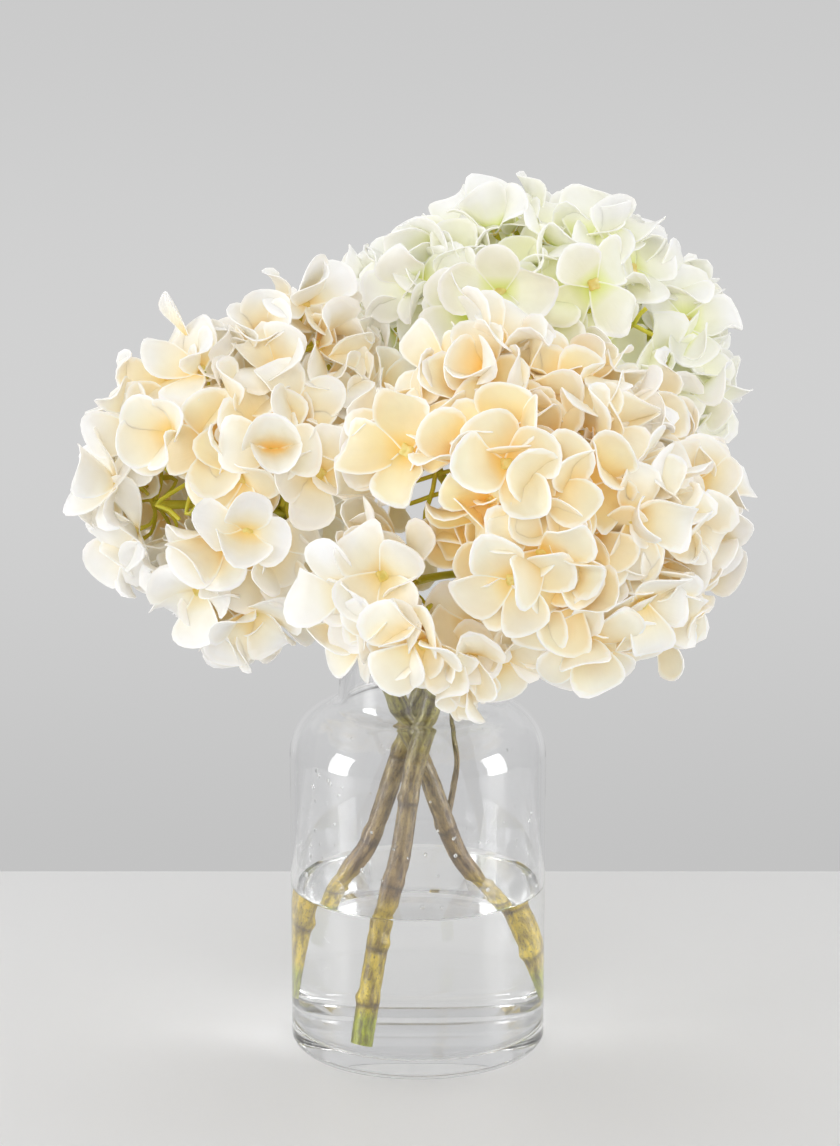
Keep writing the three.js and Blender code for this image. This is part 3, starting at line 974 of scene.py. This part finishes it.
def make_head(name, petal, bud, paints):
    """One head: its rays, its key florets, its lone petal, its bare stalks and the florets between them."""
    head = HEADS[name]
    draw = random.Random(head["seed"])
    bunch = Bunch(name, petal, bud)
    tip = Vector(STEMS[head["stem"]]["points"][-1])
    heart = Vector(head["heart"])
    own_shells = floret_shells(head)
    every_shell = [shell for other in HEADS.values() for shell in floret_shells(other)]
    for shell in own_shells:
        bunch.add_ray(tip, shell[0])
    for x, y, z, turn, tilt, roll, openness in head["key"]:
        place = Vector((x, y, z))
        middle = nearest_middle(own_shells, place)
        shapes = floret_shape(draw, openness)
        tint = with_painted_shade_and_light(draw.uniform(*head["warmth"]), place, head["painted_shade_and_light"])
        bunch.add_floret(place, look(turn, tilt), math.radians(roll), shapes, 1.0, tint, middle)
    for x, y, z, turn, tilt in head["lone"]:
        place = Vector((x, y, z))
        middle = nearest_middle(own_shells, place)
        bunch.add_floret(place, look(turn, tilt), 0.6, [NARROW_PETAL], 1.0, 0.1, middle)
    for start, end in head["bare"]:
        start = Vector(start)
        bunch.add_bare_stalk(nearest_middle(own_shells, start), start, Vector(end))
    for place, direction, middle in floret_places(head, own_shells, every_shell, draw):
        out = (place - heart).normalized()
        stray = Vector((draw.uniform(*STRAY) for _ in range(3)))
        facing = (direction * 0.5 + out * 0.5 + stray).normalized()
        shapes = floret_shape(draw, draw.uniform(*OPENNESS))
        roll = draw.uniform(0, 1.57)
        scale = draw.uniform(*FLORET_SCALE)
        tint = with_painted_shade_and_light(draw.uniform(*head["warmth"]), place, head["painted_shade_and_light"])
        bunch.add_floret(place + out * draw.uniform(*FLORET_SHIFT), facing, roll, shapes, scale, tint, middle)
    bunch.build(*paints)


# Stage


def make_stage():
    """The pale table and the grey backdrop, which shines by itself and is lighter in the middle."""
    bpy.ops.object.select_all(action="DESELECT")
    bpy.ops.mesh.primitive_plane_add(size=1, location=(0, 0, 0))
    table = bpy.context.active_object
    table.name = "table_top"
    lying = Matrix.Translation((0, TABLE_BACK - TABLE_DEEP / 2, -TABLE_DROP))
    table.data.transform(lying @ Matrix.Diagonal((TABLE_WIDE, TABLE_DEEP, 1, 1)))
    made, tree, shader = new_material("pale_table", Roughness=0.45)
    shader.inputs["Base Color"].default_value = (TABLE_GREY, TABLE_GREY, TABLE_GREY, 1)
    table.data.materials.append(made)
    bpy.ops.mesh.primitive_plane_add(size=1, location=(0, 0, 0))
    wall = bpy.context.active_object
    wall.name = "grey_backdrop"
    upright = Matrix.Translation((0, BACKDROP_PLACE, BACKDROP_LIFT)) @ Matrix.Rotation(math.pi / 2, 4, "X")
    wall.data.transform(upright @ Matrix.Diagonal((BACKDROP_WIDE, BACKDROP_HIGH, 1, 1)))
    made, tree, shader = new_material("soft_grey", Roughness=1.0)
    place = add_node(tree, "TexCoord")
    parts = add_node(tree, "SeparateXYZ")
    tree.links.new(place.outputs["Object"], parts.inputs["Vector"])
    height = maths(tree, "MULTIPLY_ADD", parts.outputs["Z"], 0.4, 0.61)
    shade = ramp(tree, height, [(0.14, (0.54, 0.54, 0.54)), (0.27, (0.59, 0.59, 0.59)),
                                (0.42, (0.645, 0.645, 0.645)), (0.6, (0.64, 0.64, 0.64)),
                                (0.75, (0.59, 0.59, 0.59))])
    shade.node.color_ramp.interpolation = "B_SPLINE"
    shader.inputs["Base Color"].default_value = (0, 0, 0, 1)
    shader.inputs["Specular IOR Level"].default_value = 0
    tree.links.new(shade, shader.inputs["Emission Color"])
    shader.inputs["Emission Strength"].default_value = 1.0
    wall.data.materials.append(made)


def soft_box(name, place, aim, width, height, power, lights):
    """A rectangular lamp that either lights surfaces or is seen in reflections."""
    lamp = bpy.data.lights.new(name, "AREA")
    lamp.shape = "RECTANGLE"
    lamp.size = width
    lamp.size_y = height
    lamp.energy = power
    made = bpy.data.objects.new(name, lamp)
    made.location = place
    made.rotation_euler = (Vector(aim) - Vector(place)).to_track_quat("-Z", "Y").to_euler()
    made.visible_glossy = lights == "reflections"
    made.visible_transmission = lights == "reflections"
    made.visible_diffuse = lights == "surfaces"
    bpy.context.collection.objects.link(made)


def make_lights():
    """Four lamps that light surfaces, two that only show in reflections, and an even grey surround."""
    aim = (0, 0, 0.22)
    soft_box("overhead", (0, 0.2, 1.9), aim, 2.4, 2.4, 11.5, "surfaces")
    soft_box("front", (-0.3, -1.7, 0.8), aim, 1.3, 0.9, 7.8, "surfaces")
    soft_box("left", (-1.27, -0.36, 0.62), aim, 0.6, 0.9, 4.2, "surfaces")
    soft_box("right", (1.27, -0.36, 0.62), aim, 0.6, 0.9, 3.5, "surfaces")
    soft_box("left_shine", (-1.27, -0.36, 0.42), (0, 0, 0.15), 0.48, 0.82, 11, "reflections")
    soft_box("right_shine", (1.27, -0.36, 0.42), (0, 0, 0.15), 0.48, 0.82, 11, "reflections")
    world = bpy.data.worlds.new("studio")
    world.use_nodes = True
    world.node_tree.nodes["Background"].inputs["Color"].default_value = (0.8, 0.8, 0.8, 1)
    world.node_tree.nodes["Background"].inputs["Strength"].default_value = 0.62
    bpy.context.scene.world = world


def make_camera():
    """The photo's view."""
    lens = bpy.data.cameras.new("camera")
    lens.lens = CAMERA_LENS
    lens.sensor_width = 36
    lens.clip_end = 20
    camera = bpy.data.objects.new("camera", lens)
    camera.location = CAMERA_PLACE
    camera.rotation_euler = (math.radians(90 - CAMERA_TILT), 0, 0)
    bpy.context.collection.objects.link(camera)
    bpy.context.scene.camera = camera


make_camera()
make_stage()
make_lights()
make_vase()
still_water = clear_material("still_water", 1.333, (0.998, 1, 0.998))
make_water(still_water)
make_drops(still_water)
bark = bark_material()
for stem_name in STEMS:
    make_stem(stem_name, bark)
petal = petal_template()
bud = bud_template()
green = green_material()
yellow = bud_material()
cream = petal_material("cream_petal", *CREAM)
white = petal_material("white_petal", *WHITE)
make_head("head_left", petal, bud, (cream, yellow, green, "cream_petals"))
make_head("head_front", petal, bud, (cream, yellow, green, "cream_petals"))
make_head("head_back", petal, bud, (white, yellow, green, "white_petals"))

scene = bpy.context.scene
scene.view_settings.view_transform = "Standard"
scene.cycles.diffuse_bounces = 8
scene.cycles.glossy_bounces = 28
scene.cycles.transmission_bounces = 28
scene.cycles.max_bounces = 28
